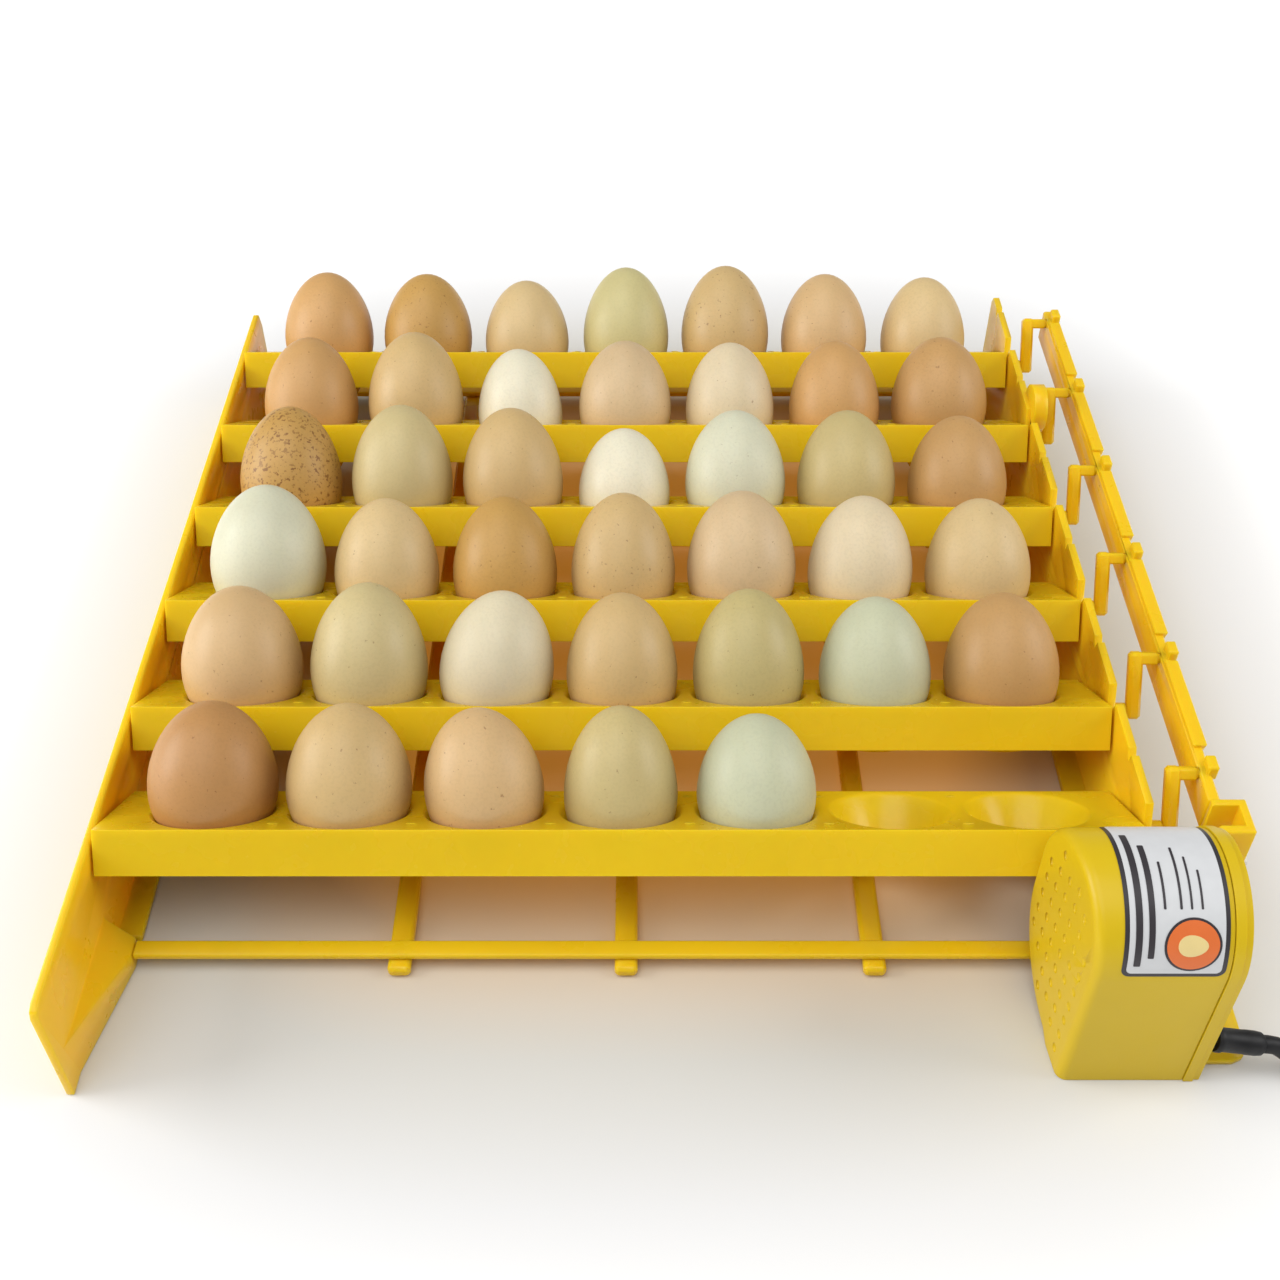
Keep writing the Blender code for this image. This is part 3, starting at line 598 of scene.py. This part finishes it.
def rack_axles():
    """The two stubs a rack turns on: the right one is longer and carries the crank arm."""
    half = RACK_LENGTH / 2
    (left_reach, left_length), (right_reach, right_length) = LEFT_AXLE, RIGHT_AXLE
    left = axle(left_length)
    left.transform(Matrix.Rotation(math.pi, 4, "Y"))
    right = along_x(axle(right_length), x=half + right_reach)
    return together([along_x(left, x=-half - left_reach), right])


def rack_place(body):
    return Matrix.Translation(PIVOTS[body]) @ Matrix.Rotation(TILT, 4, "X")


def make_racks():
    meshes = {"rack": rack_shell(), "rack_marks": rack_marks(), "rack_axles": rack_axles()}
    for mesh in meshes.values():
        mesh.materials.append(RACK_YELLOW)
    for number in RACKS:
        body = f"rack_{number}"
        for name, mesh in meshes.items():
            obj = new_object(f"{name}_{number}", mesh, None, 30)
            obj.matrix_world = rack_place(body)
            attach(obj, body)
            if name == "rack":
                bevel(obj, 0.8, 3, 40)
                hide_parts(f"egg_rack_{number}")


# The eggs


def egg_radius(width, length, height):
    t = max(-1.0, min(1.0, 2 * height / length - 1))
    return width / 2 * math.sqrt(1 - t * t) / (1 + EGG_TAPER * t) / EGG_WIDEST


def egg_mesh(width, length):
    profile = []
    for i in range(EGG_RINGS + 1):
        height = length / 2 * (1 + math.cos(math.pi * i / EGG_RINGS))
        profile.append((egg_radius(width, length, height) if 0 < i < EGG_RINGS else 0.0, height))
    return lathe(profile, EGG_SIDES)


def egg_seat(width, length):
    """The height of an egg's lower end when it rests in the cup's cone."""
    slope = (CUP_TOP_R - CUP_BOTTOM_R) / CUP_DROP
    heights = [length * i / 120 for i in range(60)]
    gaps = [CUP_TOP_R - egg_radius(width, length, height) - EGG_ROOM for height in heights]
    return max(RACK_TOP - gap / slope - height for gap, height in zip(gaps, heights))


def make_eggs():
    for number, eggs in EGGS.items():
        body = f"rack_{number}"
        for cup, (width, length, tint, speckle, lean) in enumerate(eggs):
            name = f"egg_{number}_{cup + 1}"
            mesh = egg_mesh(width, length)
            mesh.transform(Matrix.Rotation(math.radians(CUP_TWIST * cup + RACK_TWIST * number), 4, "Z"))
            tilt = Matrix.Rotation(math.radians(-lean), 4, "Y")
            belly = Vector((0, 0, width / 2)) * MM
            mesh.transform(Matrix.Translation(belly) @ tilt @ Matrix.Translation(-belly))
            obj = new_object(name, mesh, eggshell(name, TINTS[tint], speckle, 7 * number + cup))
            seat = egg_seat(width, length) + abs(lean) * LEAN_LIFT
            obj.matrix_world = rack_place(body) @ Matrix.Translation(Vector((cup_x(cup), 0, seat)) * MM)
            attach(obj, body)
            if cup == 0:
                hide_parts(f"egg_row_{number}")


# What stays from the CAD, with softer edges


def soften(node, width, segments, material):
    obj = NODES[node]
    obj.data.materials.clear()
    obj.data.materials.append(material)
    weld = obj.modifiers.new("weld", "WELD")
    weld.merge_threshold = 1e-6
    bevel(obj, width, segments, 28)
    obj.data.shade_smooth()


def soften_frame():
    for node in ("left_side_plate", "right_side_plate"):
        soften(node, 0.7, 2, FRAME_YELLOW)
    for node in ("runner_left", "runner_middle", "runner_right"):
        soften(node, 0.6, 2, FRAME_YELLOW)
    for node in ("front_crossbar", "middle_crossbar_1", "middle_crossbar_2", "rear_crossbar"):
        soften(node, 0.35, 2, FRAME_YELLOW)
    soften("motor_foot", 0.6, 2, FRAME_YELLOW)
    soften("drive_bar", 0.5, 2, FRAME_YELLOW)
    soften("drive_yoke", 0.7, 3, FRAME_YELLOW)
    for number in RACKS:
        soften(f"crank_arm_{number}", 0.45, 3, FRAME_YELLOW)
    soften("output_crank", 0.3, 2, NYLON)
    for node in ("motor_can", "gearbox_case", "output_shaft"):
        soften(node, 0.4, 2, STEEL)
    for node in ("plug_pin_left", "plug_pin_right"):
        soften(node, 0.2, 2, BRASS)


# The motor's housing and cover


def arch(radius, start, stop, steps):
    angles = [start + (stop - start) * i / steps for i in range(steps + 1)]
    return [(HOUSING_Y + radius * math.cos(a), HOUSING_Z + radius * math.sin(a)) for a in angles]


def housing_outline(inset):
    """(y, z) round the housing, drawn in by inset: the arch, the heel, then the front wall's foot."""
    radius, heel = HOUSING_R - inset, HEEL_R - inset
    turns = [math.radians(90 * i / 24) for i in range(25)]
    middle = HOUSING_Y + HOUSING_R - HEEL_R
    curve = [(middle + heel * math.cos(a), HEEL_R - heel * math.sin(a)) for a in turns]
    return [*arch(radius, math.pi, 0, 48), *curve, (HOUSING_Y - radius, inset)]


def end_slant(y):
    """How far right of HOUSING_X the slanted end stands at y."""
    return HOUSING_SLANT * (HOUSING_Y + HOUSING_R - y) / (2 * HOUSING_R)


def vent_pits():
    """Small oval pits in staggered columns on the housing's left end."""
    bm = bmesh.new()
    bmesh.ops.create_uvsphere(bm, u_segments=16, v_segments=10, radius=VENT_R * MM)
    bmesh.ops.scale(bm, vec=(VENT_DEPTH / VENT_R, 1.0, 1.2), verts=bm.verts)
    pit = finished(bm, "pit")
    pits = []
    axis = HOUSING_Y + HOUSING_R - HEEL_R
    for column in range(VENT_COLUMNS):
        y = VENT_START[0] + VENT_STEP[0] * column
        for row in range(VENT_ROWS):
            z = VENT_START[1] + VENT_STEP[1] * (row + 0.5 * (column % 2))
            above = z > HOUSING_Z and math.hypot(y - HOUSING_Y, z - HOUSING_Z) > HOUSING_R - VENT_EDGE
            behind = z < HEEL_R and y > axis and math.hypot(y - axis, z - HEEL_R) > HEEL_R - VENT_EDGE
            if not above and not behind:
                pits.append(moved(pit, HOUSING_X[0] + end_slant(y), y, z))
    return together(pits)


def make_housing():
    bm = bmesh.new()
    bm.from_mesh(extruded(housing_outline(0.0), *HOUSING_X))
    left = HOUSING_X[0] * MM
    end = [v for v in bm.verts if abs(v.co.x - left) < 1e-6]
    rim = {e for v in end for e in v.link_edges if all(abs(w.co.x - left) < 1e-6 for w in e.verts)}
    rim = [e for e in rim if max(v.co.z for v in e.verts) > 1e-4]
    for vert in end:
        vert.co.x += end_slant(vert.co.y / MM) * MM
    bmesh.ops.bevel(bm, geom=rim, offset=HOUSING_ROUNDING * MM, segments=6, affect="EDGES", profile=0.5)
    room = extruded(housing_outline(HOUSING_WALL), ROOM_LEFT, HOUSING_X[1] + 5)
    mesh = carved(finished(bm, "shell"), [("DIFFERENCE", room), ("DIFFERENCE", vent_pits())])
    to_world(mesh)
    piece("housing_shell", mesh, MOTOR_YELLOW, "frame", ["motor_housing"], sharp=40)


def cover_outline(proud):
    """(y, z) round the cover, which reaches further back than the housing."""
    radius = HOUSING_R + proud
    rear = COVER_REAR - COVER_PROUD + proud
    return [
        *arch(radius, math.pi, math.radians(38), 44),
        (rear, COVER_SHOULDER_Z),
        (rear, 0.0),
        (HOUSING_Y - radius, 0.0),
    ]


def make_cover():
    """The cover: a seat that matches the housing's rim, and a slightly smaller cap on it."""
    seat = extruded(cover_outline(COVER_PROUD), COVER_X[0], COVER_X[0] + SEAT_DEPTH)
    cap = extruded(cover_outline(COVER_PROUD - CAP_INSET), COVER_X[0] + 1, COVER_X[1])
    holes = []
    for (y, z), radius in ((SHAFT_YZ, SHAFT_HOLE_R), (LEAD_HOLE_YZ, LEAD_HOLE_R)):
        drill = lathe([(0, 20), (radius, 20), (radius, -20), (0, -20)], 28)
        holes.append(along_x(drill, y, z, COVER_X[0]))
    mesh = carved(seat, [("UNION", cap), ("DIFFERENCE", together(holes))])
    to_world(mesh)
    obj = piece("cover_shell", mesh, MOTOR_YELLOW, "frame", ["motor_cover"], sharp=30)
    bevel(obj, 0.55, 3, 35)


def make_cover_screws():
    """Pan-head screws with a cross recess."""
    head = lathe([(0, 1.7), (1.2, 1.6), (2.1, 1.2), (2.6, 0.6), (2.7, 0.0), (0, 0.0)], 28)
    slots = [box((-1.6, -0.35, 0.9), (1.6, 0.35, 3.0)), box((-0.35, -1.6, 0.9), (0.35, 1.6, 3.0))]
    cross = carved(slots[0], [("UNION", slots[1])])
    head = carved(head, [("DIFFERENCE", cross)])
    for number in range(1, 5):
        low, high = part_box(f"cover_screw_{number}")
        mesh = head.copy()
        mesh.transform(Matrix.Rotation(math.radians(25 * number), 4, "Z"))
        mesh.transform(Matrix.Rotation(math.pi / 2, 4, "Y"))
        centre = (low + high) / 2
        mesh.transform(Matrix.Translation((low.x, centre.y, centre.z)))
        piece(f"screw_head_{number}", mesh, STEEL, "frame", [f"cover_screw_{number}"])


# The label, drawn flat as (x, distance round the arch) and then wrapped on it

LABEL_X = (161.0, 194.5)
LABEL_SPAN = (-40.5, 24.0)
LABEL_LIFT = 0.05
LAYER_STEP = 0.12
FILM_THICKNESS = 0.14


def wrapped(mesh, lift):
    """Takes flat points (x, s, height) to the arch, where s is 0 at its top and grows rearwards."""
    for vert in mesh.vertices:
        x, s, height = vert.co / MM
        radius = HOUSING_R + lift + height
        angle = math.pi / 2 - s / HOUSING_R
        y = HOUSING_Y + radius * math.cos(angle)
        z = HOUSING_Z + radius * math.sin(angle)
        vert.co = Vector((x, y, z)) * MM
    return mesh


def film(outline, thickness, cell=2.0):
    """A thin flat plate with the (x, s) outline, cut across into strips so that it can bend."""
    bm = bmesh.new()
    face = bm.faces.new([bm.verts.new(Vector((x, s, 0)) * MM) for x, s in outline])
    low = min(s for _, s in outline)
    high = max(s for _, s in outline)
    count = max(1, round((high - low) / cell))
    for i in range(1, count):
        cut = Vector((0, low + (high - low) * i / count, 0)) * MM
        everything = bm.verts[:] + bm.edges[:] + bm.faces[:]
        bmesh.ops.bisect_plane(bm, geom=everything, plane_co=cut, plane_no=(0, 1, 0))
    lifted = bmesh.ops.extrude_face_region(bm, geom=bm.faces[:])
    top = [v for v in lifted["geom"] if isinstance(v, bmesh.types.BMVert)]
    bmesh.ops.translate(bm, verts=top, vec=(0, 0, thickness * MM))
    return finished(bm, "film")


def rounded(x0, x1, s0, s1, radius, steps=6):
    left, right, low, high = x0 + radius, x1 - radius, s0 + radius, s1 - radius
    corners = ((right, high, 0), (left, high, 90), (left, low, 180), (right, low, 270))
    points = []
    for x, s, start in corners:
        for i in range(steps + 1):
            a = math.radians(start + 90 * i / steps)
            points.append((x + radius * math.cos(a), s + radius * math.sin(a)))
    return points


def oval(x, s, rx, rs, pointed=0.0, count=40):
    points = []
    for i in range(count):
        a = 2 * math.pi * i / count
        narrow = 1 - pointed * math.cos(a)
        points.append((x + rx * math.cos(a), s + rs * math.sin(a) * narrow))
    return points


def make_label():
    """A plain label: a dark border, a grey face, an orange disc with an egg on it, and ruled lines."""
    x0, x1 = LABEL_X
    s0, s1 = LABEL_SPAN
    disc = (182.8, -28.6)
    layers = [
        ("label_border", LABEL_DARK, [rounded(x0, x1, s0, s1, 3.0)]),
        ("label_face", LABEL_GREY, [rounded(x0 + 1.5, x1 - 1.5, s0 + 1.5, s1 - 1.5, 1.8)]),
        ("label_ring", LABEL_DARK, [oval(*disc, 9.2, 9.2)]),
        ("label_disc", LABEL_ORANGE, [oval(*disc, 8.4, 8.4)]),
        ("label_egg", LABEL_CREAM, [oval(*disc, 4.8, 3.6, 0.16)]),
    ]
    lines = [(164.4, 166.6, -36.0, 12.0), (168.6, 170.6, -33.0, 6.0), (173.4, 174.2, -17.0, -1.0)]
    lines += [(178.6, 179.4, -17.0, 5.0), (182.0, 182.7, -17.0, 1.0), (185.4, 186.1, -17.0, -4.0)]
    layers.append(("label_lines", LABEL_DARK, [rounded(a, b, c, d, 0.3, 2) for a, b, c, d in lines]))
    for level, (name, material, outlines) in enumerate(layers):
        base = LABEL_LIFT + LAYER_STEP * (2 if name == "label_lines" else level)
        mesh = together([wrapped(film(outline, FILM_THICKNESS), base) for outline in outlines])
        replaced = ["rating_label"] if name == "label_border" else []
        piece(name, to_world(mesh), material, "frame", replaced, sharp=60)


# The mains lead


def smooth_route(route, spacing):
    """Points about spacing apart on a Catmull-Rom curve through the route's own points."""
    ends = [2 * route[0] - route[1], *route, 2 * route[-1] - route[-2]]
    points = []
    for a, b, c, d in zip(ends, ends[1:], ends[2:], ends[3:]):
        steps = max(1, round((c - b).length / spacing))
        for i in range(steps):
            t = i / steps
            bend = (2 * a - 5 * b + 4 * c - d) * t**2 + (3 * b - a - 3 * c + d) * t**3
            points.append(0.5 * (2 * b + (c - a) * t + bend))
    return [*points, route[-1]]


def lead_route():
    """The lead's own points from the sleeve, down to the table and off to the coil."""
    z = CORD_R + 0.1
    out = (CORD_EXIT - SLEEVE_START).normalized()
    return [
        CORD_EXIT + 0.5 * out,
        CORD_EXIT + 6.0 * out,
        Vector((232.0, -60.6, 8.6)),
        Vector((239.0, -63.4, 4.2)),
        Vector((248.0, -67.0, z)),
        Vector((260.0, -71.6, z)),
        Vector((274.0, -75.8, z)),
        Vector((289.0, -78.2, z)),
        Vector((303.0, -78.2, z)),
    ]


def coil_points():
    """Turns inwards on the table, one turn that climbs, then turns back out on top of them."""
    outer, inner = COIL_RADII
    low, high = COIL_Z
    count = COIL_TURNS * COIL_STEPS
    angle = math.radians(-90)
    points = []
    for i in range(count + 1):
        share = i / count
        points.append((angle + 2 * math.pi * COIL_TURNS * share, outer + (inner - outer) * share, low))
    angle = points[-1][0]
    for i in range(1, CLIMB_STEPS + 1):
        share = i / CLIMB_STEPS
        ease = share * share * (3 - 2 * share)
        points.append((angle + 2 * math.pi * share, inner, low + (high - low) * ease))
    angle = points[-1][0]
    for i in range(1, count + 1):
        share = i / count
        points.append((angle + 2 * math.pi * COIL_TURNS * share, inner + (outer - inner) * share, high))
    return [COIL_CENTRE + Vector((r * math.cos(a), r * math.sin(a), z)) for a, r, z in points]


def tail_route():
    """The lead's last stretch, from the top of the coil to the plug's neck."""
    neck = PLUG_CENTRE - Vector((0.0, PLUG_NECK, 0.0))
    return [
        COIL_CENTRE + Vector((14.0, -44.8, 9.8)),
        COIL_CENTRE + Vector((28.0, -43.6, 9.5)),
        COIL_CENTRE + Vector((43.0, -40.6, 8.9)),
        COIL_CENTRE + Vector((57.0, -32.0, 8.3)),
        neck + Vector((-1.2, -8.0, 0.1)),
        neck + Vector((0.0, -1.0, 0.0)),
    ]


def make_lead():
    route = [*lead_route(), *coil_points(), *tail_route()]
    points = smooth_route(route, 3.0)
    curve = bpy.data.curves.new("mains_cord", "CURVE")
    curve.dimensions = "3D"
    curve.bevel_depth = CORD_R * MM
    curve.bevel_resolution = 5
    curve.use_fill_caps = True
    spline = curve.splines.new("POLY")
    spline.points.add(len(points) - 1)
    for target, point in zip(spline.points, points):
        target.co = (*(point * MM + ZERO), 1.0)
    spline.use_smooth = True
    curve.materials.append(BLACK)
    cord = new_object("mains_cord", curve)
    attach(cord, "frame")
    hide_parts("mains_lead", "lead_coil", "lead_tail")
    sleeve = make_sleeve()
    plug = make_plug()


def turned_along(start, end, profile, sides=32):
    """A lathe whose (radius, share of the way) profile runs from start to end."""
    axis = end - start
    mesh = lathe([(r, share * axis.length) for r, share in reversed(profile)], sides)
    mesh.transform(Matrix.Translation(start * MM) @ axis.to_track_quat("Z", "Y").to_matrix().to_4x4())
    return mesh


def make_sleeve():
    """The black sleeve over the lead where it leaves the cover, with a lip at its mouth."""
    profile = [(0, 0), (4.3, 0), (4.6, 0.05), (4.6, 0.12), (4.2, 0.16), (4.2, 0.60)]
    profile += [(4.3, 0.66), (4.3, 0.86), (4.1, 0.97), (3.7, 1.0), (0, 1.0)]
    mesh = turned_along(SLEEVE_START, CORD_EXIT, profile)
    return piece("lead_sleeve", to_world(mesh), BLACK, "frame", ["strain_relief"], sharp=50)


def make_plug():
    """A moulded plug: a waisted body with grip ribs and a plain narrow neck."""
    sides = 24
    bm = bmesh.new()
    sections = [(-PLUG_NECK, 3.9, 3.9), (-13.0, 4.2, 4.2), (-11.0, 6.6, 6.4), (-4.0, 7.6, 7.4)]
    sections += [(4.0, 7.0, 7.0), (11.0, 8.0, 7.8), (12.0, 7.6, 7.4)]
    rings = []
    for y, wide, tall in sections:
        ring = []
        for i in range(sides):
            a = 2 * math.pi * i / sides
            c, s = math.cos(a), math.sin(a)
            square = (abs(c) ** 4 + abs(s) ** 4) ** -0.25 if y > -12 else 1.0
            ring.append(bm.verts.new((wide * c * square * MM, y * MM, tall * s * square * MM)))
        rings.append(ring)
    for a, b in zip(rings, rings[1:]):
        for i in range(sides):
            j = (i + 1) % sides
            bm.faces.new((a[i], a[j], b[j], b[i]))
    bm.faces.new(rings[0])
    bm.faces.new(rings[-1])
    mesh = finished(bm, "plug")
    ribs = [moved(box((-8.3, -0.5, -3.5), (8.3, 0.5, 3.5)), 0, y, 0) for y in (-2.5, 0.0, 2.5, 5.0)]
    mesh = carved(mesh, [("UNION", rib) for rib in ribs])
    mesh.transform(Matrix.Translation(PLUG_CENTRE * MM))
    obj = piece("plug_moulding", to_world(mesh), BLACK, "frame", ["plug_body"], sharp=40)
    bevel(obj, 0.35, 2, 40)
    return obj


# Floor, light and camera

SKY = 0.27
CEILING_POWER = 1.55
CEILING_SPREAD = math.radians(55)
CEILING_TURN = (math.radians(14), math.radians(-12), 0.0)
LAMP_TARGET = Vector((0.0, 0.0, 0.03))
LAMP_SIZE = 0.9
LAMPS = {"left": ((-1.3, -0.1, 0.6), 13.0), "right": ((1.3, -0.1, 0.8), 9.0)}
FLOOR_HALF = 6.0
FLOOR_DROP = 0.0003
CAMERA_PLACE = Vector((7.1, -350.6, 490.0))
CAMERA_PITCH = math.radians(44.13)
CAMERA_LENS = 43.96


def link(name, data):
    obj = bpy.data.objects.new(name, data)
    bpy.context.scene.collection.objects.link(obj)
    return obj


def make_studio():
    bm = bmesh.new()
    bmesh.ops.create_grid(bm, x_segments=8, y_segments=8, size=FLOOR_HALF)
    floor = new_object("floor", finished(bm, "floor"), floor_with_painted_shadow("paper_with_painted_shadow"))
    floor.location.z = -FLOOR_DROP
    world = bpy.data.worlds.new("studio")
    world.use_nodes = True
    background = world.node_tree.nodes["Background"]
    background.inputs["Color"].default_value = (1.0, 1.0, 1.0, 1.0)
    background.inputs["Strength"].default_value = SKY
    bpy.context.scene.world = world
    sun = bpy.data.lights.new("ceiling", "SUN")
    sun.energy = CEILING_POWER
    sun.angle = CEILING_SPREAD
    link("ceiling", sun).rotation_euler = CEILING_TURN
    for name, (place, power) in LAMPS.items():
        light = bpy.data.lights.new(name, "AREA")
        light.shape = "DISK"
        light.size = LAMP_SIZE
        light.energy = power
        lamp = link(name, light)
        lamp.location = place
        lamp.rotation_euler = (LAMP_TARGET - lamp.location).to_track_quat("-Z", "Y").to_euler()


def make_camera():
    camera = bpy.data.cameras.new("camera")
    camera.sensor_width = 36.0
    camera.lens = CAMERA_LENS
    obj = link("camera", camera)
    obj.location = ZERO + CAMERA_PLACE * MM
    obj.rotation_euler = (math.pi / 2 - CAMERA_PITCH, 0.0, 0.0)
    bpy.context.scene.camera = obj


make_camera()
make_lead()
make_racks()
make_eggs()
soften_frame()
make_housing()
make_cover()
make_cover_screws()
make_label()
make_studio()
bpy.context.scene.view_settings.view_transform = "Standard"
